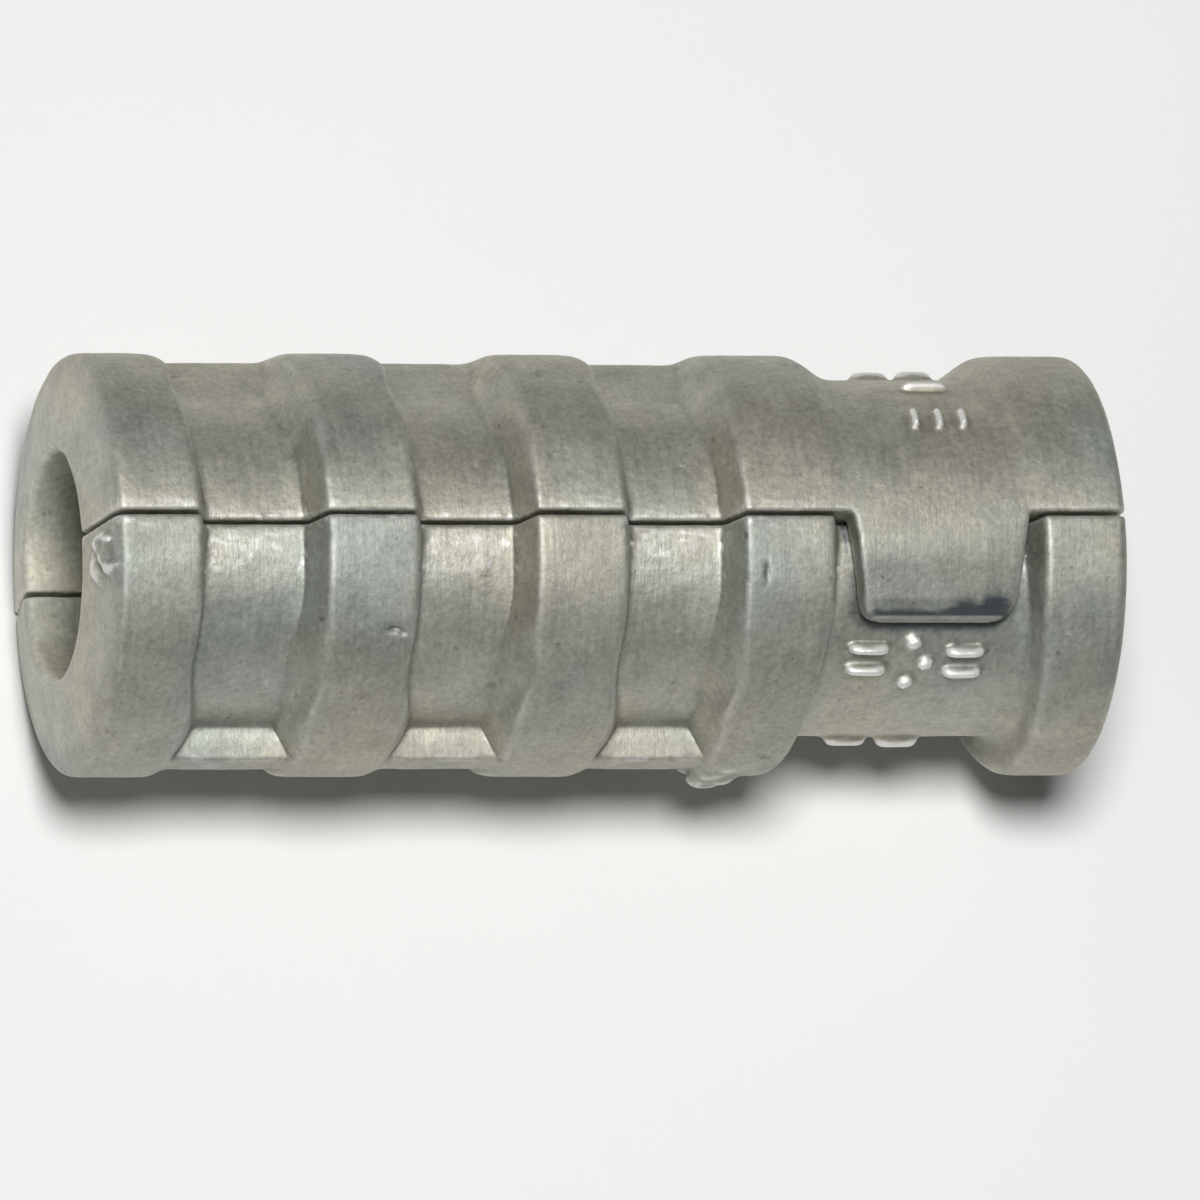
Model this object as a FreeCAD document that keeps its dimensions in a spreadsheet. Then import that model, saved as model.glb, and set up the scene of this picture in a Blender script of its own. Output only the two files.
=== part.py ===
"""Two-piece die-cast expansion anchor for a 5/16 inch lag screw, as a parametric FreeCAD document.

The anchor is a ribbed tube split along its length into two half shells. One half carries two tabs
that hook over the recessed neck of the other, beside the collar, and hold the pair together there.
A screw driven in at the collar meets a tapering bore with a cast thread and spreads the nose apart.

Row frame: the origin is on the bore's axis at the collar's end face, +X points out of the wall
along the bore and +Z is up. The seam between the halves is the XZ plane, with the tabbed half on
+Y and the plain one on -Y. Every piece is drawn with the tip of its nose at x = 0, and its own
Placement then moves it back by the anchor's length.
"""

import FreeCAD, Part
import math
import os
import Sketcher

DIMENSIONS = {
    # the whole anchor
    "total_length": 31.75,
    "body_radius": 6.35,
    "seam_gap": 0.12,
    # nose: a slightly conical end face round a small countersink
    "nose_rim_radius": 3.65,
    "nose_bevel": 0.4,
    "nose_edge_radius": 6.15,
    "nose_edge_end": 0.6,
    "nose_countersink": 0.2,
    # bands that stand proud of the tube, narrower towards the middle of each half by the die's draft
    "recess_radius": 5.15,
    "flank_run": 0.4,
    "draft_slope": 0.12,
    "mould_reach": 7.5,
    "nose_band_end": 3.0,
    "rib_first": 6.92,
    "rib_pitch": 6.45,
    "rib_land": 2.75,
    "collar_start": 29.2,
    "collar_edge": 0.18,
    # fin along the middle of each half
    "fin_root_radius": 4.6,
    "fin_radius": 6.2,
    "fin_root_width": 1.5,
    "fin_width": 1.2,
    # bore
    "mouth_radius": 4.25,
    "mouth_length": 9.0,
    "mouth_countersink": 0.3,
    "nose_bore_radius": 3.4,
    # thread cast in the tapering bore, for a lag screw of nine threads to the inch
    "thread_pitch": 2.82,
    "thread_depth": 0.35,
    "thread_crest": 0.4,
    "thread_root": 1.2,
    "thread_margin": 2.6,
    # arch of the tabbed half and its tabs, which keep clear of the plain half's neck
    "arch_half_width": 6.34,
    "arch_height": 5.55,
    "flare_radius": 5.45,
    "flare_run": 1.25,
    "flare_rib_gap": 0.2,
    "flare_collar_gap": 0.35,
    "tab_start": 23.15,
    "tab_root_width": 5.6,
    "tab_tip_width": 4.75,
    "tab_reach": 2.8,
    "tab_inner_radius": 5.38,
    "tab_corner": 0.65,
    "tab_overlap": 0.3,
}
RIBS = 3
SHEET = "Dimensions"

doc = FreeCAD.newDocument("WallAnchor")
sheet = doc.addObject("Spreadsheet::Sheet", SHEET)
for row, (alias, size) in enumerate(DIMENSIONS.items(), start=1):
    sheet.set(f"A{row}", alias)
    sheet.set(f"B{row}", str(size))
    sheet.setAlias(f"B{row}", alias)
doc.recompute()


def on_sheet(expression):
    """The expression with the sheet's name put in front of each of its aliases."""
    words = expression.replace("(", " ( ").replace(")", " ) ").split()
    return " ".join(f"{SHEET}.{word}" if word in DIMENSIONS else word for word in words)


def size_of(expression):
    """What the expression comes to with the sheet's present values."""
    return float(sheet.evalExpression(on_sheet(expression)))


def bind(obj, **sizes):
    """Binds each named property to an expression in the sheet's aliases."""
    for name, expression in sizes.items():
        obj.setExpression(name, on_sheet(expression))
    return obj


def shift(obj, **offsets):
    """Binds the object's Placement offsets, such as x, to expressions."""
    for axis, expression in offsets.items():
        obj.setExpression(f"Placement.Base.{axis}", on_sheet(expression))
    return obj


def outline_sketch(body, name, corners):
    """A closed outline on the body's XY plane, with each corner dimensioned from the origin."""
    sketch = body.newObject("Sketcher::SketchObject", name)
    plane = next(f for f in body.Origin.OriginFeatures if f.Role == "XY_Plane")
    sketch.AttachmentSupport = (plane, "")
    sketch.MapMode = "FlatFace"
    points = [FreeCAD.Vector(size_of(x), size_of(y), 0) for x, y in corners]
    following = points[1:] + points[:1]
    for start, end in zip(points, following):
        sketch.addGeometry(Part.LineSegment(start, end), False)
    for i, (x, y) in enumerate(corners):
        after = (i + 1) % len(corners)
        sketch.addConstraint(Sketcher.Constraint("Coincident", i, 2, after, 1))
        for kind, axis, value, expression in (
            ("DistanceX", -2, points[i].x, x),
            ("DistanceY", -1, points[i].y, y),
        ):
            if abs(value) < 1e-9:
                sketch.addConstraint(Sketcher.Constraint("PointOnObject", i, 1, axis))
            else:
                rule = Sketcher.Constraint(kind, -1, 1, i, 1, value)
                index = sketch.addConstraint(rule)
                sketch.setExpression(f"Constraints[{index}]", on_sheet(expression))
    doc.recompute()
    return sketch


def turned_body(name, corners):
    """A body turned about the X axis from an outline of (x, radius) corners."""
    body = doc.addObject("PartDesign::Body", name)
    turn = body.newObject("PartDesign::Revolution", name + "_turn")
    turn.Profile = outline_sketch(body, name + "_outline", corners)
    turn.ReferenceAxis = (turn.Profile[0], ["H_Axis"])
    turn.Angle = 360.0
    body.Tip = turn
    doc.recompute()
    return body


def fused(name, shapes):
    whole = doc.addObject("Part::MultiFuse", name)
    whole.Shapes = shapes
    return whole


def common(name, base, tool):
    part = doc.addObject("Part::Common", name)
    part.Base, part.Tool = base, tool
    return part


def cut(name, base, tool):
    part = doc.addObject("Part::Cut", name)
    part.Base, part.Tool = base, tool
    return part


def rib_start(number):
    return f"rib_first + {number} * rib_pitch"


def rib_end(number):
    return f"{rib_start(number)} + rib_land"


def make_blank():
    """The turned outside: nose band, ribs and collar with conical flanks on the recessed tube."""
    corners = [
        ("0", "0"),
        ("0", "nose_rim_radius"),
        ("nose_bevel", "nose_edge_radius"),
        ("nose_edge_end", "body_radius"),
        ("nose_band_end", "body_radius"),
        ("nose_band_end + flank_run", "recess_radius"),
    ]
    for number in range(RIBS):
        corners += [
            (f"{rib_start(number)} - flank_run", "recess_radius"),
            (rib_start(number), "body_radius"),
            (rib_end(number), "body_radius"),
            (f"{rib_end(number)} + flank_run", "recess_radius"),
        ]
    corners += [
        ("collar_start - flank_run", "recess_radius"),
        ("collar_start", "body_radius"),
        ("total_length - collar_edge", "body_radius"),
        ("total_length", "body_radius - collar_edge"),
        ("total_length", "0"),
    ]
    return turned_body("blank", corners)


def make_band_mould(name, start, end):
    """The die's recess for one band: it narrows away from the seam, so that the casting comes out."""
    low, high = f"{start} - flank_run", f"{end} + flank_run"
    return bind(
        doc.addObject("Part::Wedge", name),
        Xmin=low,
        Xmax=high,
        X2min=f"{low} + draft_slope * mould_reach",
        X2max=f"{high} - draft_slope * mould_reach",
        Ymin="0",
        Ymax="mould_reach",
        Zmin="0 - mould_reach",
        Zmax="mould_reach",
        Z2min="0 - mould_reach",
        Z2max="mould_reach",
    )


def make_half_blank():
    """What both halves share, on the +Y side: the bands, the recessed tube and the fin."""
    moulds = [
        make_band_mould("rib_mould_%d" % (number + 1), rib_start(number), rib_end(number))
        for number in range(RIBS)
    ]
    # the end bands draw in only on their inner flanks
    for name, start, end in (
        ("nose_mould", "0 - nose_band_end", "nose_band_end"),
        ("collar_mould", "collar_start", "2 * total_length - collar_start"),
    ):
        moulds.append(make_band_mould(name, start, end))
    bands = common("bands", make_blank(), fused("band_moulds", moulds))

    tube = bind(
        doc.addObject("Part::Cylinder", "tube"),
        Radius="recess_radius",
        Height="total_length - nose_edge_end - collar_edge",
    )
    tube.Placement.Rotation = FreeCAD.Rotation(FreeCAD.Vector(0, 1, 0), 90)
    shift(tube, x="nose_edge_end")

    fin = bind(
        doc.addObject("Part::Wedge", "fin"),
        Xmin="nose_band_end / 2",
        Xmax=f"{rib_end(RIBS - 1)} - rib_land / 2",
        X2min="nose_band_end / 2",
        X2max=f"{rib_end(RIBS - 1)} - rib_land / 2",
        Ymin="fin_root_radius",
        Ymax="fin_radius",
        Zmin="0 - fin_root_width / 2",
        Zmax="fin_root_width / 2",
        Z2min="0 - fin_width / 2",
        Z2max="fin_width / 2",
    )

    side = bind(
        doc.addObject("Part::Box", "one_side"),
        Length="total_length + 2",
        Width="mould_reach",
        Height="2 * mould_reach",
    )
    shift(side, x="0 - 1", y="seam_gap / 2", z="0 - mould_reach")
    return common("half_blank", fused("half_outside", [bands, tube, fin]), side), side


def make_core():
    """The bore as a solid: a mouth, a taper with a screw groove round it, and a countersunk nose."""
    corners = [
        ("0", "0"),
        ("0", "nose_bore_radius + nose_countersink"),
        ("nose_countersink", "nose_bore_radius"),
        ("total_length - mouth_length", "mouth_radius"),
        ("total_length - mouth_countersink", "mouth_radius"),
        ("total_length", "mouth_radius + mouth_countersink"),
        ("total_length", "0"),
    ]
    core = turned_body("core", corners)

    # the groove's section, at the nose end of the taper, and the helix that it follows
    slope = "( mouth_radius - nose_bore_radius ) / ( total_length - mouth_length )"
    wall = f"nose_bore_radius + {slope} * thread_margin"
    section = [
        ("thread_margin - thread_root / 2", f"{wall} + thread_depth"),
        ("thread_margin - thread_crest / 2", f"{wall} - thread_depth"),
        ("thread_margin + thread_crest / 2", f"{wall} - thread_depth"),
        ("thread_margin + thread_root / 2", f"{wall} + thread_depth"),
    ]
    groove_outline = outline_sketch(core, "thread_outline", section)
    groove = core.newObject("PartDesign::SubtractiveHelix", "thread")
    groove.Profile = groove_outline
    groove.ReferenceAxis = (groove_outline, ["H_Axis"])
    groove.Mode = 0
    bind(
        groove,
        Pitch="thread_pitch",
        Height="total_length - mouth_length - thread_margin - thread_root",
    )
    groove.Angle = math.degrees(math.atan(size_of(slope)))
    core.Tip = groove
    doc.recompute()
    return core


def make_tab_window():
    """Both tabs' outline seen from above, as a prism: it tapers to a tip with rounded corners."""
    middle = "tab_start + tab_root_width / 2"
    window = doc.addObject("PartDesign::Body", "tab_window")
    pad = window.newObject("PartDesign::Pad", "tab_window_pad")
    pad.Profile = outline_sketch(
        window,
        "tab_outline",
        [
            ("tab_start", "seam_gap / 2 + tab_overlap"),
            (f"{middle} - tab_tip_width / 2", "0 - tab_reach"),
            (f"{middle} + tab_tip_width / 2", "0 - tab_reach"),
            ("tab_start + tab_root_width", "seam_gap / 2 + tab_overlap"),
        ],
    )
    pad.Midplane = True
    bind(pad, Length="2 * mould_reach")
    doc.recompute()
    tip_edges = [
        f"Edge{number}"
        for number, edge in enumerate(pad.Shape.Edges, start=1)
        if edge.Length > size_of("mould_reach") and edge.CenterOfMass.y < -size_of("tab_reach / 2")
    ]
    rounding = window.newObject("PartDesign::Fillet", "tab_corners")
    rounding.Base = (pad, tip_edges)
    bind(rounding, Radius="tab_corner")
    window.Tip = rounding
    return window


def make_tabbed_neck(side):
    """The tabbed half's neck: an arch, and on its far side the two tabs that go on round it."""
    rim = bind(
        doc.addObject("Part::Ellipse", "arch_rim"),
        MajorRadius="arch_half_width",
        MinorRadius="arch_height",
    )
    rim.Placement.Rotation = FreeCAD.Rotation(FreeCAD.Vector(0, 1, 0), -90)
    shift(rim, x=f"{rib_end(RIBS - 1)} - rib_land / 2")
    arch = doc.addObject("Part::Extrusion", "arch")
    arch.Base = rim
    arch.DirMode = "Custom"
    arch.Dir = FreeCAD.Vector(1, 0, 0)
    arch.Solid = True
    bind(arch, LengthFwd=f"collar_start + rib_land / 2 - ( {rib_end(RIBS - 1)} )")

    neck_room = bind(
        doc.addObject("Part::Cylinder", "neck_room"),
        Radius="tab_inner_radius",
        Height="2 * tab_root_width",
    )
    neck_room.Placement.Rotation = FreeCAD.Rotation(FreeCAD.Vector(0, 1, 0), 90)
    shift(neck_room, x="tab_start - tab_root_width / 2")
    tab_room = cut("tab_room", make_tab_window(), neck_room)
    tabbed_arch = common("tabbed_arch", arch, fused("neck_outline", [side, tab_room]))

    # the arch's lower middle runs up to the last rib and the collar in long cones
    rib_side = f"{rib_end(RIBS - 1)} + flare_rib_gap"
    collar_side = "collar_start - flare_collar_gap"
    flares = turned_body(
        "neck_flares",
        [
            (f"{rib_end(RIBS - 1)} - rib_land / 2", "0"),
            (f"{rib_end(RIBS - 1)} - rib_land / 2", "body_radius"),
            (rib_side, "body_radius"),
            (f"{rib_side} + flare_run", "flare_radius"),
            (f"{collar_side} - flare_run", "flare_radius"),
            (collar_side, "body_radius"),
            ("collar_start + rib_land / 2", "body_radius"),
            ("collar_start + rib_land / 2", "0"),
        ],
    )
    return fused("tabbed_neck", [tabbed_arch, common("half_flares", flares, side)])


def place(piece):
    """Moves a finished half so that the collar's end face is at the origin."""
    piece.Label = piece.Name
    return shift(piece, x="0 - total_length")


def build():
    half_blank, side = make_half_blank()
    core = make_core()

    tab_half = cut("tab_half", fused("tab_half_solid", [half_blank, make_tabbed_neck(side)]), core)

    other_blank = doc.addObject("Part::Mirroring", "other_blank")
    other_blank.Source = half_blank
    other_blank.Normal = FreeCAD.Vector(0, 1, 0)
    neck_half = cut("neck_half", other_blank, core)
    return [place(tab_half), place(neck_half)]


def check(pieces):
    """Stops unless every object recomputed and each half is one valid solid of a sensible size."""
    for obj in doc.Objects:
        if "Invalid" in obj.State or "Error" in obj.State:
            raise RuntimeError(f"{obj.Name} did not recompute: {obj.State}")
    whole = math.pi * size_of("body_radius") ** 2 * size_of("total_length")
    for piece in pieces:
        shape = piece.Shape
        if shape.isNull() or not shape.isValid() or len(shape.Solids) != 1:
            raise RuntimeError(f"{piece.Label} is not one valid solid")
        if not 0.1 * whole < shape.Volume < 0.4 * whole:
            raise RuntimeError(f"{piece.Label} has a volume of {shape.Volume:.0f}")


pieces = build()
doc.recompute()
check(pieces)
os.makedirs("parts", exist_ok=True)
for piece in pieces:
    piece.Shape.exportStep(f"parts/{piece.Label}.step")
    box = piece.Shape.BoundBox
    print(f"{piece.Label}: volume {piece.Shape.Volume:.1f}, x {box.XMin:.2f} to {box.XMax:.2f}")
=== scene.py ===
"""The wall anchor's looks: each die-cast half gets its as-cast skin, soft edges, flash, gate stubs
and raised marks on top of the CAD shape, and a dull mottled zinc material. Sizes in the helpers are
in millimetres, since the castings are worked at a thousand times their size."""

import math
import bmesh
import bpy
import numpy as np
from mathutils import Matrix, Vector, noise


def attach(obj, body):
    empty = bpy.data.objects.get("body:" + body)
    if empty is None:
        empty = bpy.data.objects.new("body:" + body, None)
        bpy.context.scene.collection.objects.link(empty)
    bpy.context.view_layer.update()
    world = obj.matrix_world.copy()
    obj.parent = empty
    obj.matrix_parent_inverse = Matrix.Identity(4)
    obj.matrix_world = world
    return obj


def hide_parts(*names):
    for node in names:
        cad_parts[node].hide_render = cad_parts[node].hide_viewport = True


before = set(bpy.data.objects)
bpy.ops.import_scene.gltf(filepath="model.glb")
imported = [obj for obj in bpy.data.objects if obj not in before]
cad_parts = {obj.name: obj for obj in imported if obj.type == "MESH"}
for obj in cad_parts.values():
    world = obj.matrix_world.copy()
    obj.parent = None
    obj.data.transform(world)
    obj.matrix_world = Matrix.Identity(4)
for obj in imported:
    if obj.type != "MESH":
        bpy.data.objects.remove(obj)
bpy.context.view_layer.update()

MM = 1000.0
LENGTH = 31.75
RADIUS = 6.35
VOXEL = 0.07
FACE_LIMIT = 95_000


def nose(distance):
    """The row's x, in mm, of a place at that distance from the nose."""
    return distance - LENGTH


# the nose band, the ribs and the collar: places along X on the CAD halves
NOSE_BAND_END = nose(3.0)
RIB_STARTS = [nose(6.92 + 6.45 * i) for i in range(3)]
RIB_END = nose(22.57)
COLLAR = nose(29.2)

# a rib's flat top and the flank beside it along X, the mould's draft in mm per mm from the seam,
# the recess floors' radius and how far the broad slopes climb from them
LAND = 2.75
FLANK_RUN = 0.4
DRAFT = 0.12
FLOOR_RADIUS = 5.15
SLOPE_RISE = 1.15

# the tabs: where along X their masks fade in and out, and the y of their tips
TAB_START = nose(22.9), nose(23.1)
TAB_END = nose(28.5), nose(28.7)
TAB_TIP = -2.8

# the raised marks' boxes: low and high x, first and last angle from the top seam
TAB_MARKS_KEPT_SHARP = (-7.3, -3.9, -85, -24)
TAB_MARKS_WORN_BARE = (-8, -3.9, -85, -24)
NECK_MARKS = (-8.7, -3.7, 36, 115)

# the skin: rounds of softening and smoothing, how far a reshaped point has moved, the rounds that
# widen the reshaped area, the heights and grain sizes of the unevenness, and the number of pits
SOFTEN_ROUNDS = 60
SMOOTH_ROUNDS = 14
MOVED = 0.02
WIDEN_ROUNDS = 6
WAVES = ((0.012, 2.4), (0.007, 0.8), (0.004, 0.3))
PITS = 40


def around(x, radius, angle):
    """A point in mm on the anchor; the angle is in degrees from the top seam towards -Y."""
    turn = math.radians(angle)
    return Vector((x, -radius * math.sin(turn), radius * math.cos(turn)))


# ---------------------------------------------------------------- small solids fused to a casting

def lump(bm, centre, size, seed, rough):
    """A rough rounded lump: an icosphere stretched to the size and pushed about by noise."""
    made = bmesh.ops.create_icosphere(bm, subdivisions=3, radius=1.0)
    noise_scale = 1.7
    for vert in made["verts"]:
        push = 1.0 + rough * noise.noise(vert.co * noise_scale + Vector((seed, seed * 0.7, 0)))
        vert.co = centre + Vector([c * s * push for c, s in zip(vert.co, size)])


def bar(bm, x, angle, radius, length, width, height, slant=0.0, bow=0.0):
    """A raised rounded bar on the surface. Its length runs along X before it is slanted; the slant
    and the bow, both in degrees, turn and bend it within the surface."""
    steps, sides = 14, 10
    bluntness, end_size = 6, 0.15
    rings = []
    for i in range(steps + 1):
        along = (i / steps - 0.5) * length
        bend = math.radians(bow) * (along / length)
        heading = math.radians(slant) + bend
        dx = along * math.cos(heading)
        around_mm = along * math.sin(heading) + (bow / 90.0) * (along / length) ** 2 * length
        end = max(end_size, math.sqrt(max(0.0, 1.0 - (2 * along / length) ** bluntness)))
        ring = []
        for k in range(sides):
            phase = 2 * math.pi * k / sides
            side = 0.5 * width * end * math.cos(phase)
            lift = height * end * math.sin(phase)
            shift_x = -side * math.sin(heading)
            shift_around = side * math.cos(heading)
            degrees = angle + math.degrees((around_mm + shift_around) / radius)
            ring.append(bm.verts.new(around(x + dx + shift_x, radius + lift, degrees)))
        rings.append(ring)
    for one, two in zip(rings, rings[1:]):
        for k in range(sides):
            bm.faces.new((one[k], one[(k + 1) % sides], two[(k + 1) % sides], two[k]))
    bm.faces.new(rings[0][::-1])
    bm.faces.new(rings[-1])


def casting_mesh(node, extras):
    """The CAD half in mm with the extra lumps, remade as one fine even skin."""
    bm = bmesh.new()
    bm.from_mesh(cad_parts[node].data)
    bmesh.ops.scale(bm, vec=(MM, MM, MM), verts=bm.verts)
    bmesh.ops.remove_doubles(bm, verts=bm.verts, dist=1e-4)
    extras(bm)
    bmesh.ops.recalc_face_normals(bm, faces=bm.faces)
    mesh = bpy.data.meshes.new(node + "_skin")
    bm.to_mesh(mesh)
    bm.free()
    piece = bpy.data.objects.new(node + "_casting", mesh)
    bpy.context.scene.collection.objects.link(piece)
    remesh = piece.modifiers.new("skin", "REMESH")
    remesh.mode = "VOXEL"
    remesh.voxel_size = VOXEL
    apply_modifiers(piece)
    return piece


def apply_modifiers(piece):
    """Makes what the modifiers show the piece's own mesh."""
    graph = bpy.context.evaluated_depsgraph_get()
    result = bpy.data.meshes.new_from_object(piece.evaluated_get(graph))
    old = piece.data
    piece.modifiers.clear()
    piece.data = result
    bpy.data.meshes.remove(old)


# ---------------------------------------------------------------- the skin

def coords(mesh):
    flat = np.empty(len(mesh.vertices) * 3, np.float32)
    mesh.vertices.foreach_get("co", flat)
    return flat.reshape(-1, 3).astype(float)


def normals(mesh):
    flat = np.empty(len(mesh.vertices) * 3, np.float32)
    mesh.vertex_normals.foreach_get("vector", flat)
    return flat.reshape(-1, 3).astype(float)


def set_coords(mesh, points):
    mesh.vertices.foreach_set("co", points.astype(np.float32).ravel())
    mesh.update()


def edge_pairs(mesh):
    flat = np.empty(len(mesh.edges) * 2, np.int32)
    mesh.edges.foreach_get("vertices", flat)
    return flat.reshape(-1, 2)


def neighbour_mean(values, pairs):
    """The mean of each point's neighbours along the mesh's edges."""
    count = len(values)
    ends = np.concatenate((pairs[:, 0], pairs[:, 1]))
    others = np.concatenate((pairs[:, 1], pairs[:, 0]))
    number = np.bincount(ends, minlength=count)
    sums = [np.bincount(ends, values[others, axis], count) for axis in range(3)]
    return np.stack(sums, 1) / number[:, None]


def step(values, low, high):
    """0 below low, 1 above high and smooth between them."""
    part = np.clip((values - low) / (high - low), 0, 1)
    return part * part * (3 - 2 * part)


def value_noise(points, scale, seed):
    """Smooth noise from -1 to 1 at that grain size in mm, the same on every run."""
    size, offset = 32, 16.37
    grid = np.random.default_rng(seed).uniform(-1, 1, (size, size, size))
    place = points / scale + offset
    base = np.floor(place).astype(int)
    part = place - base
    part = part * part * (3 - 2 * part)
    total = np.zeros(len(points))
    for dx in (0, 1):
        for dy in (0, 1):
            for dz in (0, 1):
                weight = (
                    (part[:, 0] if dx else 1 - part[:, 0])
                    * (part[:, 1] if dy else 1 - part[:, 1])
                    * (part[:, 2] if dz else 1 - part[:, 2])
                )
                cell = [(base[:, i] + d) % size for i, d in enumerate((dx, dy, dz))]
                total += weight * grid[cell[0], cell[1], cell[2]]
    return total


def polar(points):
    """Each point's angle in degrees from the top seam towards -Y, and its distance from the axis."""
    return np.degrees(np.arctan2(-points[:, 1], points[:, 2])), np.hypot(points[:, 1], points[:, 2])


def soften(mesh, pairs, softness):
    """Evens out the surface step by step, as much at each point as its softness says."""
    points = coords(mesh)
    share = 0.5 * softness(points)[:, None]
    for _ in range(SOFTEN_ROUNDS):
        points = points + share * (neighbour_mean(points, pairs) - points)
    return points


def glints(points):
    """Painted highlight specks where the overhead lamp's highlight falls: on the recess floors beside
    the top seam and along the seam's lips.
    """
    angle, radial = polar(points)
    floor_zone = step(angle, 1, 3) * (1 - step(angle, 11, 24)) * (1 - step(radial, 5.25, 5.4))
    lips = 0.8 * (1 - step(abs(angle), 1.5, 6)) * (1 - step(points[:, 0], nose(22.3), nose(22.6)))
    speck = step(value_noise(points, 0.12, 77), 0.3, 0.7)
    return speck * np.maximum(floor_zone, lips) * step(radial, 4.9, 5.05)


def finish_skin(piece, seed, softness, shape, grime_and_shade, bare, dents, matt):
    """Softens the edges, reshapes the casting, adds the cast skin's unevenness, pits and dents, and
    records in attributes what stands out, how dull each surface is, which also sets painted light,
    where dirt and painted shade go, and what is bare metal or painted highlight specks. Each dent is
    its centre, its size along the axes and its depth."""
    mesh = piece.data
    pairs = edge_pairs(mesh)
    count = len(mesh.vertices)
    softened = soften(mesh, pairs, softness)
    points = shape(softened)

    # the reshaped flanks and what is round them are smoothed more than the rest
    moved = np.linalg.norm(points - softened, axis=1, keepdims=True) > MOVED
    moved = np.repeat(moved & (points[:, :1] < RIB_END), 3, axis=1).astype(float)
    for _ in range(WIDEN_ROUNDS):
        moved = np.maximum(moved, neighbour_mean(moved, pairs))
    for _ in range(SMOOTH_ROUNDS):
        points += (0.1 + 0.4 * moved) * (neighbour_mean(points, pairs) - points)
    set_coords(mesh, points)
    normal = normals(mesh)

    skin = np.zeros(count)
    for number, (height, scale) in enumerate(WAVES):
        skin += height * value_noise(points, scale, seed + number)
    rng = np.random.default_rng(seed + len(WAVES))
    for index in rng.integers(0, count, PITS):
        size = rng.uniform(0.06, 0.13)
        away = np.linalg.norm(points - points[index], axis=1)
        skin -= rng.uniform(0.02, 0.05) * np.exp(-((away / size) ** 2))
    for centre, size, depth in dents:
        away = np.linalg.norm((points - np.array(centre)) / np.array(size), axis=1)
        skin -= depth * np.exp(-(away**2))
    points = points + normal * skin[:, None]
    set_coords(mesh, points)

    # how far each point stands out of its surroundings: positive on edges, negative in corners
    smooth = points
    for _ in range(SMOOTH_ROUNDS):
        smooth = neighbour_mean(smooth, pairs)
    stand = np.einsum("ij,ij->i", points - smooth, normals(mesh))

    # how dull, which in the material also sets painted light: matt on the recess floors, 1 on the
    # ribs, 2 in the bore, which is tighter at the nose
    radial = polar(points)[1]
    bore_wall = np.where(points[:, 0] < nose(0.5), 3.5, 4.3)
    dull = np.maximum(step(radial, 5.35, 5.75), matt)
    dull = np.maximum(dull, 2 * (1 - step(radial, bore_wall, bore_wall + 0.2)))
    layers = {
        "edge": np.clip(stand / 0.05, -1, 1),
        "dull": dull,
        "grime_and_shade": grime_and_shade(points),
        # the bare layer holds bare metal and the painted highlight specks
        "bare": np.maximum(bare(points) * step(stand, 0.005, 0.035), glints(points)),
    }
    for name, values in layers.items():
        attribute = mesh.attributes.new(name, "FLOAT", "POINT")
        attribute.data.foreach_set("value", values.astype(np.float32))


def finish(piece, node, seed, softness, shape, grime_and_shade, bare, matt, dents=()):
    """Gives the casting its skin, brings it back to metres and puts it in its CAD half's place."""
    finish_skin(piece, seed, softness, shape, grime_and_shade, bare, dents, matt)
    mesh = piece.data
    mesh.transform(Matrix.Scale(1 / MM, 4))
    mesh.polygons.foreach_set("use_smooth", np.ones(len(mesh.polygons), bool))
    if len(mesh.polygons) > FACE_LIMIT:
        thin = piece.modifiers.new("thin", "DECIMATE")
        thin.ratio = FACE_LIMIT / len(mesh.polygons)
        apply_modifiers(piece)
    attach(piece, node)
    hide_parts(node)
    return piece


# ---------------------------------------------------------------- the castings

def neck_flanks(points, reach):
    """1 on the slopes from the neck up to the last rib and the collar, 0 further off."""
    x = points[:, 0]
    half_slope = 0.35
    near = np.minimum(abs(x - RIB_END - half_slope), abs(x - COLLAR + half_slope))
    outside = step(polar(points)[1], 4.6, 4.9)
    return (1 - step(near, 0.6 * reach, reach)) * outside


def marked(points, low, high, first, last):
    """1 where the raised marks are, between two places along X and two angles from the top seam."""
    angle = polar(points)[0]
    along = step(points[:, 0], low - 0.2, low) * (1 - step(points[:, 0], high, high + 0.2))
    return along * step(angle, first - 3, first) * (1 - step(angle, last, last + 3))


def tab_half_softness(points):
    """The tabbed half's casting is soft in its corners: most in the middle of the neck, where the
    arch runs up to the last rib and the collar, less along the fin, least at the seam."""
    out = step(points[:, 1], 0.2, 3.0)
    outer = step(polar(points)[1], 4.5, 4.8)
    soft = 0.1 + 0.3 * out * outer
    fin = step(points[:, 1], 3.8, 4.6) * step(2.6 - abs(points[:, 2]), 0, 0.8)
    soft = np.maximum(soft, 0.7 * fin)
    neck = (0.25 + 0.75 * out) * neck_flanks(points, 2.0) * step(points[:, 1], 0.1, 0.8)
    return np.maximum(soft, neck) * (1 - 0.9 * marked(points, *TAB_MARKS_KEPT_SHARP))


def neck_half_softness(points):
    """The plain half's casting keeps its corners, but for those beside the neck, far from the seam."""
    out = step(-points[:, 1], 2.2, 4.2)
    soft = np.maximum(0.12, 0.9 * out * neck_flanks(points, 1.5))
    return soft * (1 - 0.9 * marked(points, *NECK_MARKS))


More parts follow.
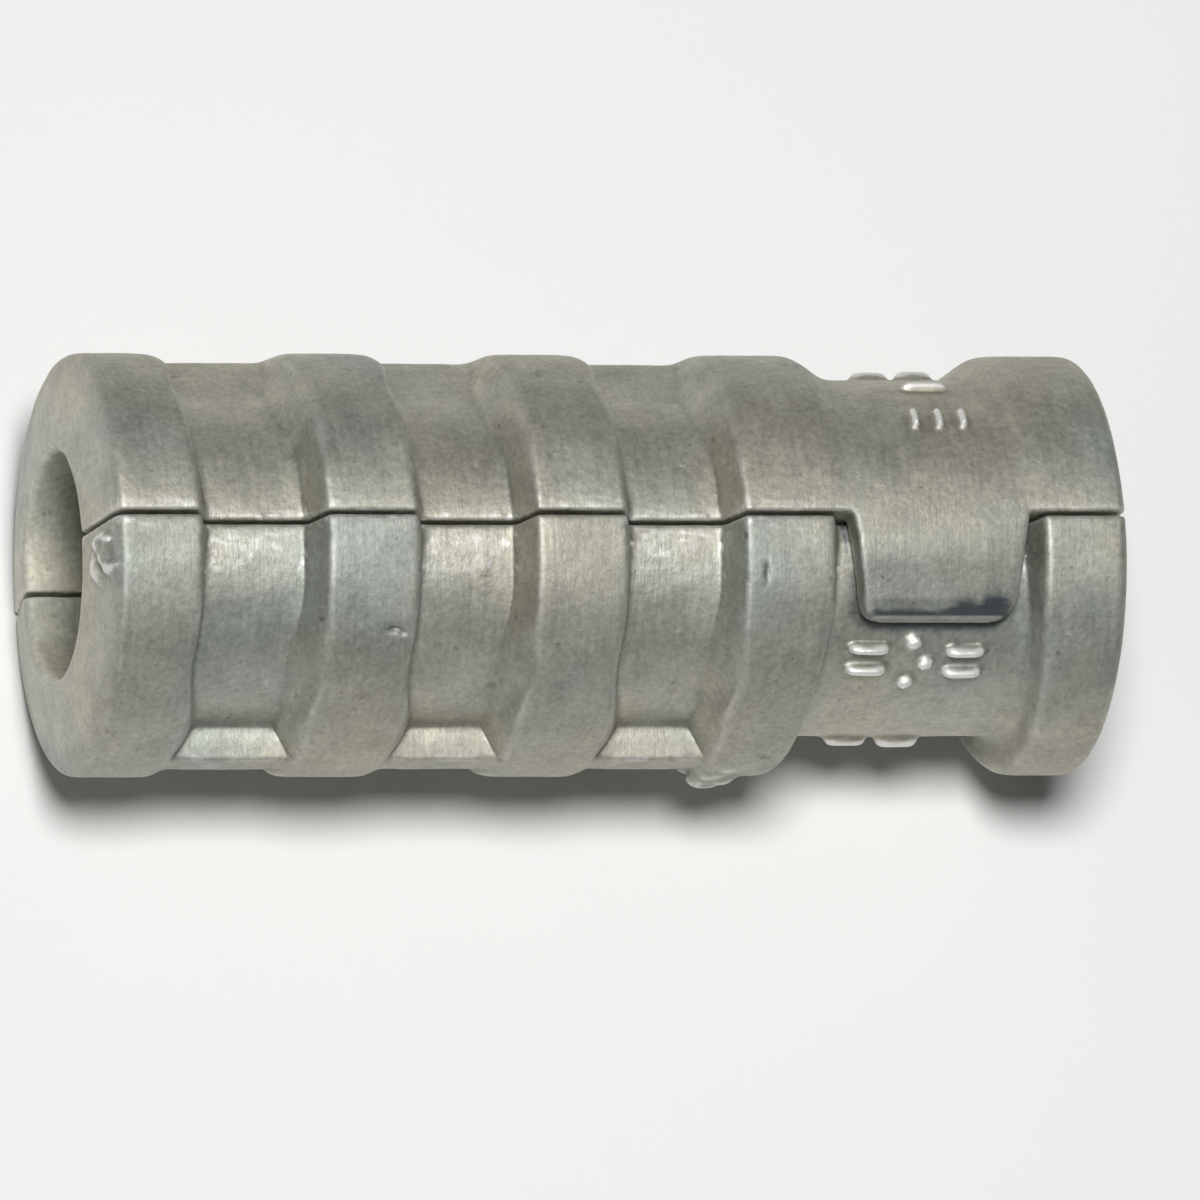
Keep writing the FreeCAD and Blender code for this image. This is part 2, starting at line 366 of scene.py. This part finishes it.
def fill_corner(points, place, side, width):
    """Spreads the land a little beside the fin, then fills the corner at its edge with a straight
    slope of that width: the floor's and the wall's points move squarely onto it. The side is 1
    where the slope rises towards +X and -1 where it falls."""
    out, radial = abs(points[:, 1]), polar(points)[1]
    margin = 0.2
    set_back = np.maximum(0, DRAFT * out - FLANK_RUN)
    spread = 0.33 * step(out, 4.3, 5.5) * (radial > FLOOR_RADIUS - margin)
    from_wall = abs(side * (points[:, 0] - place) - set_back)
    points[:, 0] -= side * spread * (1 - step(from_wall, 0.15, 1.15))
    run = side * (points[:, 0] - place) - set_back + spread + width
    rise = radial - FLOOR_RADIUS
    length = np.hypot(width, SLOPE_RISE)
    along = (run * width + rise * SLOPE_RISE) / length
    depth = (run * SLOPE_RISE - rise * width) / length
    corner = (depth > 0) & (along > 0) & (along < length)
    corner = corner & (run < width + margin) & (rise > -margin)
    share = corner * step(out, 0.1, 0.4)
    points[:, 0] += share * side * (along * width / length - run)
    points[:, 1:] *= (1 + share * (along * SLOPE_RISE / length - rise) / radial)[:, None]


def widen_flanks(points, fin_reach):
    """Turns the ribs' flanks to broad slopes, which widen away from the seam, and raises the
    recess floors over that reach beside the fin along the half's back. A reach of 0 leaves them."""
    out = abs(points[:, 1])
    for start in RIB_STARTS:
        fill_corner(points, start, 1, 0.45 + 0.4 * step(out, 1.8, 4.4) - 0.3 * step(out, 4.4, 5.4))
    for end in [NOSE_BAND_END] + [start + LAND for start in RIB_STARTS[:2]]:
        fill_corner(points, end, -1, 0.3 + 0.6 * step(out, 3.6, 5.6))
    if fin_reach:
        x, side, radial = points[:, 0], abs(points[:, 2]), polar(points)[1]
        fin_side = 0.7
        slope = np.clip((fin_reach - side) / (fin_reach - fin_side), 0, 1) * (out > 3)
        target = np.where(slope > 0, FLOOR_RADIUS + 0.95 * slope**1.3, 0)
        raised = (radial > 4.95) & (x > nose(2.0)) & (x < RIB_END - 1) & (radial < target)
        points[:, 1:] *= np.where(raised, target / radial, 1)[:, None]


def tab_shape(points):
    """The tabs reach a little further. Their outsides bend in and roll over at the tips, and are
    flatter near the collar. Their insides hardly move in, which keeps them clear of the neck as
    the nose opens."""
    points = points.copy()
    x, out, radial = points[:, 0], points[:, 1], polar(points)[1]
    tab = step(x, *TAB_START) * step(radial, 5.2, 5.3)
    roll = 0.4
    press = np.clip((-out + TAB_TIP + roll) / roll, 0, 1)
    facet = np.clip(x - nose(27.3), 0, 1.6) * step(-out, 0.1, 0.6)
    stretch = 0.17 * step(x, *TAB_START) * step(-out, 1.6, 2.6)
    bend = 0.07 * step(-out, 0.3, 2.9)
    outside = 0.1 + 0.9 * step(radial, 5.45, 5.95)
    points[:, 2] -= np.sign(points[:, 2]) * tab * outside * (0.22 * press + 0.045 * facet + bend)
    points[:, 1] -= stretch
    widen_flanks(points, 2.7)
    return points


def tab_shade_and_darkening(points):
    """Painted shade: a dark band where each tab rolls over, standing in for the dark reflection of its
    turned-down tip, ragged and thicker towards the collar, and a faint streaky darkening on the rest
    of the tab, stronger towards the tip."""
    x, out, radial = points[:, 0], points[:, 1], polar(points)[1]
    tab = step(x, *TAB_START) * (1 - step(x, *TAB_END)) * step(radial, 5.5, 5.7)
    across = step(x, nose(23.6), nose(24.0)) * (1 - step(x, nose(28.0), nose(28.3)))
    ragged = value_noise(points * (1, 0.2, 0.2), 0.35, 91)
    swell = (0.26 + 0.16 * ragged) * step(x, nose(26.0), nose(26.6))
    edge = 2.77 - 0.05 * ragged - swell
    # painted shade: the dark band where the tab rolls over
    shade_band = across * step(-out, edge - 0.04, edge + 0.03) * (1 - step(-out, 2.88, 2.95))
    streaks = 0.5 + 0.5 * value_noise(points * (1, 0.15, 0.15), 0.5, 93)
    darkening = (0.15 + 0.13 * step(-out, 0.6, 2.2)) * (0.6 + 0.8 * streaks) * step(-out, -0.9, 0.6)
    return tab * np.maximum(shade_band, darkening)


def neck_gap_shade_and_dirt(points):
    """Painted shadow and dirt in the gap round each tab, which narrows from its root to its tip."""
    x, out, radial = points[:, 0], -points[:, 1], polar(points)[1]
    taper = 0.15 * np.clip(out, 0, 3)
    corner = 0.6
    beside = np.maximum(nose(23.15) + taper - x, x - nose(28.75) + taper) + corner
    beyond = out - 2.38
    past = np.hypot(np.maximum(beside, 0), np.maximum(beyond, 0)) - corner
    gap = step(past, -0.3, -0.02) * (1 - step(past, 0.03, 0.14))
    return 0.9 * gap * (1 - step(radial, 5.6, 5.9)) * step(radial, 4.6, 4.9) * (x > RIB_END)


def neck_shape(points):
    """The plain half's ribs get their broad flanks."""
    points = points.copy()
    widen_flanks(points, 0)
    return points


def tab_half_extras(bm):
    """Plain raised marks on the arch, and burrs along the upper lip of the seam."""
    bar(bm, x=-5.3, angle=-50, radius=5.86, length=1.5, width=0.26, height=0.3)
    for x in (-6.15, -5.4, -4.65):
        bar(bm, x, angle=-31, radius=6.08, length=0.8, width=0.3, height=0.36, slant=90)
    bar(bm, x=-6.3, angle=-75, radius=5.56, length=1.2, width=0.6, height=0.3)
    bar(bm, x=-4.9, angle=-75, radius=5.57, length=1.2, width=0.6, height=0.32)

    # a few larger burrs at listed places, then many small ones anywhere along the seam
    rib_lip = 6.3
    rng = np.random.default_rng(5)
    on_floors, on_ribs = (-26.6, -20.7, -13.9, -13.2), (-11.7, -10.6, -28.9, -24.4, -17.9)
    for places, radius in ((on_floors, 5.13), (on_ribs, rib_lip)):
        for x in places:
            size = rng.uniform(0.05, 0.1, 3) * (2.0, 1.0, 0.8)
            lump(bm, Vector((x, 0.13, radius)), size, seed=x, rough=0.5)
    for x in rng.uniform(nose(2.0), nose(23.0), 26):
        on_rib = any(0 < x - start < LAND for start in [nose(0)] + RIB_STARTS)
        radius = rib_lip if on_rib else 5.12
        size = rng.uniform(0.03, 0.07, 3) * (1.6, 1.0, 1.0)
        lump(bm, Vector((x, 0.1 + rng.uniform(0, 0.12), radius)), size, seed=x, rough=0.5)


def tab_bare(points):
    """Bright bare metal on the marks."""
    return marked(points, *TAB_MARKS_WORN_BARE)


def neck_bare(points):
    """Bright bare metal on the marks and where the gates broke off."""
    x = points[:, 0]
    angle, radial = polar(points)
    under_rib = step(x, -12.0, -11.7) * (1 - step(x, -10.6, -10.3))
    under_rib = under_rib * step(angle, 84, 88) * step(radial, 6.3, 6.42)
    on_rim = (1 - step(x, -31.5, -31.4)) * step(angle, 2, 5) * (1 - step(angle, 20, 24))
    on_rim = on_rim * step(radial, 4.4, 4.6)
    return marked(points, *NECK_MARKS) + 0.7 * under_rib + 0.8 * on_rim


def neck_half_extras(bm):
    """Plain raised marks on the neck, broken gates on the nose's rim and under the last rib, flash
    on that rib and the first, and a crusty patch."""
    for angle in (43, 51):
        bar(bm, -7.65, angle, radius=5.14, length=1.35, width=0.38, height=0.38)
        bar(bm, -4.6, angle + 1, radius=5.14, length=1.3, width=0.38, height=0.38)
    for x, angle in ((-6.25, 41), (-5.8, 49), (-6.3, 57)):
        lump(bm, around(x, FLOOR_RADIUS, angle), (0.26, 0.24, 0.26), seed=angle, rough=0.35)
    bar(bm, x=-7.05, angle=104, radius=5.1, length=1.4, width=0.6, height=0.36, slant=4)
    bar(bm, x=-5.45, angle=103, radius=5.1, length=1.4, width=0.7, height=0.4, slant=-5)

    broken_gate = (
        (-11.4, 6.44, 103, (0.34, 0.28, 0.36)),
        (-11.05, 6.5, 107, (0.36, 0.28, 0.3)),
        (-10.85, 6.42, 101, (0.26, 0.26, 0.34)),
        (-11.2, 6.34, 96, (0.42, 0.22, 0.4)),
        (-10.95, 6.3, 90, (0.2, 0.2, 0.3)),
    )
    for x, radius, angle, size in broken_gate:
        lump(bm, around(x, radius, angle), size, seed=-x - 8, rough=0.75)
    bar(bm, x=-10.5, angle=84, radius=6.3, length=1.7, width=0.2, height=0.1, slant=-3, bow=4)
    bar(bm, x=-23.9, angle=84, radius=6.29, length=1.5, width=0.7, height=0.1, slant=2)

    # the gate's scar follows the nose's slightly conical end face
    rim_x, rim_radius, cone = -31.78, 3.65, 0.16
    rng = np.random.default_rng(21)
    for _ in range(18):
        radius = rng.uniform(4.7, 6.0)
        x = rim_x + cone * (radius - rim_radius)
        size = (rng.uniform(0.12, 0.3), rng.uniform(0.14, 0.34), rng.uniform(0.12, 0.24))
        lump(bm, around(x, radius, rng.uniform(7, 19)), size, seed=7 * radius, rough=1.0)

    # a crusty patch of splashed metal on the floor between the first two ribs
    rng = np.random.default_rng(8)
    for _ in range(9):
        spot = around(-19.6 + rng.uniform(-0.35, 0.35), 5.13, 13 + rng.uniform(-2, 2.5))
        lump(bm, spot, rng.uniform(0.05, 0.1, 3), seed=spot.x, rough=0.6)


tab_half = finish(
    casting_mesh("tab_half", tab_half_extras),
    "tab_half",
    seed=11,
    softness=tab_half_softness,
    shape=tab_shape,
    grime_and_shade=tab_shade_and_darkening,
    bare=tab_bare,
    matt=0.75,
)
neck_half = finish(
    casting_mesh("neck_half", neck_half_extras),
    "neck_half",
    seed=47,
    softness=neck_half_softness,
    shape=neck_shape,
    grime_and_shade=neck_gap_shade_and_dirt,
    bare=neck_bare,
    matt=0.6,
    dents=(
        (around(-22.77, RADIUS, 32), (0.24, 0.1, 0.14), 0.14),
        (around(-22.5, RADIUS, 33), (0.1, 0.08, 0.1), 0.08),
        (around(-11.31, RADIUS, 16.3), (0.06, 0.32, 0.14), 0.09),
    ),
)


# ---------------------------------------------------------------- material

def zinc(name, seed, tone):
    """As-cast zinc alloy: a dull oxide skin mottled in warm and cool greys, fine cold-flow lines,
    painted shade in the corners, bright metal where the edges are worn or the skin is broken,
    painted highlight specks beside the top seam, painted light on the recess floors and in the bore,
    and dark blue-black dirt and painted shade where those were recorded. The tone lightens or darkens
    all of it: painted light, the tabbed half lighter and the plain half darker for how the light falls."""
    material = bpy.data.materials.new(name)
    material.use_nodes = True
    tree = material.node_tree
    nodes, links = tree.nodes, tree.links
    shader = nodes["Principled BSDF"]

    def node(kind, **settings):
        made = nodes.new(kind)
        for key, value in settings.items():
            setattr(made, key, value)
        return made

    place = node("ShaderNodeTexCoord")
    shifted = node("ShaderNodeMapping")
    shifted.inputs["Location"].default_value = (seed, seed * 0.37, seed * 0.71)
    links.new(place.outputs["Object"], shifted.inputs["Vector"])

    def grain(scale, detail, roughness, stretch=None):
        source = shifted
        if stretch:
            source = node("ShaderNodeMapping")
            source.inputs["Scale"].default_value = stretch
            links.new(shifted.outputs["Vector"], source.inputs["Vector"])
        made = node("ShaderNodeTexNoise")
        made.inputs["Scale"].default_value = scale
        made.inputs["Detail"].default_value = detail
        made.inputs["Roughness"].default_value = roughness
        links.new(source.outputs["Vector"], made.inputs["Vector"])
        return made.outputs["Fac"]

    def ramp(value, *stops):
        made = node("ShaderNodeValToRGB")
        elements = made.color_ramp.elements
        while len(elements) < len(stops):
            elements.new(0.5)
        for element, (position, colour) in zip(elements, stops):
            element.position = position
            element.color = (*colour, 1)
        links.new(value, made.inputs["Fac"])
        return made.outputs["Color"]

    def mix(factor, one, two, blend="MIX"):
        made = node("ShaderNodeMix", data_type="RGBA", blend_type=blend)
        for socket, value in ((made.inputs[0], factor), (made.inputs[6], one), (made.inputs[7], two)):
            if isinstance(value, (int, float, tuple)):
                socket.default_value = value
            else:
                links.new(value, socket)
        return made.outputs[2]

    def grey(level):
        return (level, level, level)

    def rescale(value, low, high, to_low=0.0, to_high=1.0):
        made = node("ShaderNodeMapRange")
        limits = {"From Min": low, "From Max": high, "To Min": to_low, "To Max": to_high}
        for socket, number in limits.items():
            made.inputs[socket].default_value = number
        links.new(value, made.inputs["Value"])
        return made.outputs["Result"]

    def maths(operation, *values):
        made = node("ShaderNodeMath", operation=operation)
        for socket, value in zip(made.inputs, values):
            if isinstance(value, (int, float)):
                socket.default_value = value
            else:
                links.new(value, socket)
        return made.outputs["Value"]

    def layer(attribute):
        return node("ShaderNodeAttribute", attribute_name=attribute).outputs["Fac"]

    edge, dull_and_painted_light, grime_and_shade = layer("edge"), layer("dull"), layer("grime_and_shade")
    streaks = grain(5200, 3, 0.6, stretch=(1.0, 0.1, 0.1))
    fine = grain(5600, 3, 0.7)

    warm, neutral, cool = (0.48, 0.46, 0.385), (0.455, 0.45, 0.385), (0.405, 0.43, 0.39)
    colour = ramp(grain(170, 3, 0.5), (0.34, warm), (0.5, neutral), (0.66, cool))
    for source, low, high in (
        (grain(900, 6, 0.65), 0.86, 1.1),
        (fine, 0.84, 1.14),
        (streaks, 0.94, 1.05),
    ):
        colour = mix(1.0, colour, ramp(source, (0.32, grey(low)), (0.68, grey(high))), "MULTIPLY")
    specks = ramp(grain(2600, 3, 0.6), (0.27, grey(0.5)), (0.34, grey(1.0)))
    colour = mix(0.6, colour, mix(1.0, colour, specks, "MULTIPLY"))
    # painted shade: the corners, where the edge layer is negative, are darkened
    colour = mix(1.0, colour, rescale(edge, -0.8, -0.1, 0.72, 1.0), "MULTIPLY")
    # painted light: the recess floors are lightened against the ribs for the floor's reflection they
    # catch, and the shaded bore, which sees little light, is lightened most
    colour = mix(1.0, colour, rescale(dull_and_painted_light, 0.0, 1.0, 1.2, 0.98), "MULTIPLY")
    colour = mix(1.0, colour, rescale(dull_and_painted_light, 1.0, 2.0, 1.0, 1.38), "MULTIPLY")
    colour = mix(1.0, colour, (tone, tone, tone, 1.0), "MULTIPLY")
    worn = maths("MULTIPLY", rescale(edge, 0.4, 1.0), rescale(grain(1300, 4, 0.6), 0.36, 0.6, 0.0, 0.4))
    # bare metal and the painted highlight specks share this layer
    bare = maths("MAXIMUM", worn, layer("bare"))
    bright_metal_and_glint, dirt_and_shade_colour = (0.8, 0.79, 0.76, 1.0), (0.035, 0.055, 0.075, 1.0)
    colour = mix(bare, colour, bright_metal_and_glint)
    # painted shade and dirt in dark blue-black: the shaded tab tips, the gaps round the tabs with their
    # dirt, and a streaky darkening on the tabs
    colour = mix(maths("MULTIPLY", grime_and_shade, 0.85), colour, dirt_and_shade_colour)
    links.new(colour, shader.inputs["Base Color"])

    rough = rescale(grain(700, 5, 0.6), 0.0, 1.0, 0.33, 0.61)
    rough = maths("ADD", rough, rescale(streaks, 0.3, 0.7, -0.03, 0.03))
    rough = maths("MULTIPLY_ADD", dull_and_painted_light, 0.15, rough)
    links.new(maths("MULTIPLY_ADD", bare, -0.1, rough), shader.inputs["Roughness"])
    links.new(maths("MULTIPLY_ADD", bare, -0.4, 0.8), shader.inputs["Metallic"])

    height = maths("ADD", maths("MULTIPLY", fine, 0.8), grain(1700, 6, 0.65))
    height = maths("MULTIPLY_ADD", streaks, 0.7, height)
    bump = node("ShaderNodeBump")
    bump.inputs["Strength"].default_value = 0.35
    bump.inputs["Distance"].default_value = 0.00004
    links.new(height, bump.inputs["Height"])
    links.new(bump.outputs["Normal"], shader.inputs["Normal"])
    return material


# painted light: the tabbed half is made lighter and the plain half darker, for how the light falls on
# each
for piece, seed, tone in ((tab_half, 0.013, 1.06), (neck_half, 0.171, 0.97)):
    piece.data.materials.clear()
    piece.data.materials.append(zinc("cast_zinc_" + piece.name, seed, tone))


# ---------------------------------------------------------------- floor, light and camera

# the floor's height in metres and the side lights' colour
GROUND = -0.00637
WARM = (1.0, 0.985, 0.95)


def plain(name, colour, roughness):
    material = bpy.data.materials.new(name)
    material.use_nodes = True
    shader = material.node_tree.nodes["Principled BSDF"]
    shader.inputs["Base Color"].default_value = (*colour, 1)
    shader.inputs["Roughness"].default_value = roughness
    return material


bpy.ops.mesh.primitive_plane_add(size=3.0, location=(0, 0, GROUND))
floor = bpy.context.object
floor.name = "floor"
floor.data.materials.append(plain("floor_paper", (0.9, 0.895, 0.885), 0.9))


def area_light(name, place, aim, size, watts, colour=(1, 1, 1)):
    light = bpy.data.lights.new(name, "AREA")
    light.shape = "DISK"
    light.size = size
    light.energy = watts
    light.color = colour
    obj = bpy.data.objects.new(name, light)
    obj.location = place
    obj.rotation_euler = (Vector(aim) - Vector(place)).to_track_quat("-Z", "Y").to_euler()
    bpy.context.scene.collection.objects.link(obj)


middle = (-LENGTH / 2 / MM, 0, 0)
area_light("overhead", (-0.11, -0.004, 0.5), middle, size=0.14, watts=2.45)
area_light("nose_side", (-0.5, -0.1, 0.13), middle, size=0.4, watts=0.18, colour=WARM)
area_light("front_side", (0.0, -0.5, 0.085), middle, size=0.16, watts=0.13, colour=WARM)
world = bpy.data.worlds.new("studio")
world.use_nodes = True
background = world.node_tree.nodes["Background"].inputs
background["Color"].default_value = (0.9, 1.0, 1.0, 1)
background["Strength"].default_value = 0.035
bpy.context.scene.world = world
bpy.context.scene.view_settings.view_transform = "Standard"

# the camera looks down from far off, a little from the nose's and the plain half's side
camera_data = bpy.data.cameras.new("camera")
camera = bpy.data.objects.new("camera", camera_data)
bpy.context.scene.collection.objects.link(camera)
right = Vector((0.96115, -0.06878, 0.26733))
up = Vector((-0.00047, 0.96805, 0.25076))
back = right.cross(up).normalized()
up = back.cross(right.normalized())
turn = Matrix((right.normalized(), up, back)).transposed()
place = Vector((-180.412, -145.765, 558.285)) / MM
camera.matrix_world = Matrix.Translation(place) @ turn.to_4x4()
camera_data.sensor_width = 36
camera_data.lens = 598.3
camera_data.clip_start = 0.01
bpy.context.scene.camera = camera
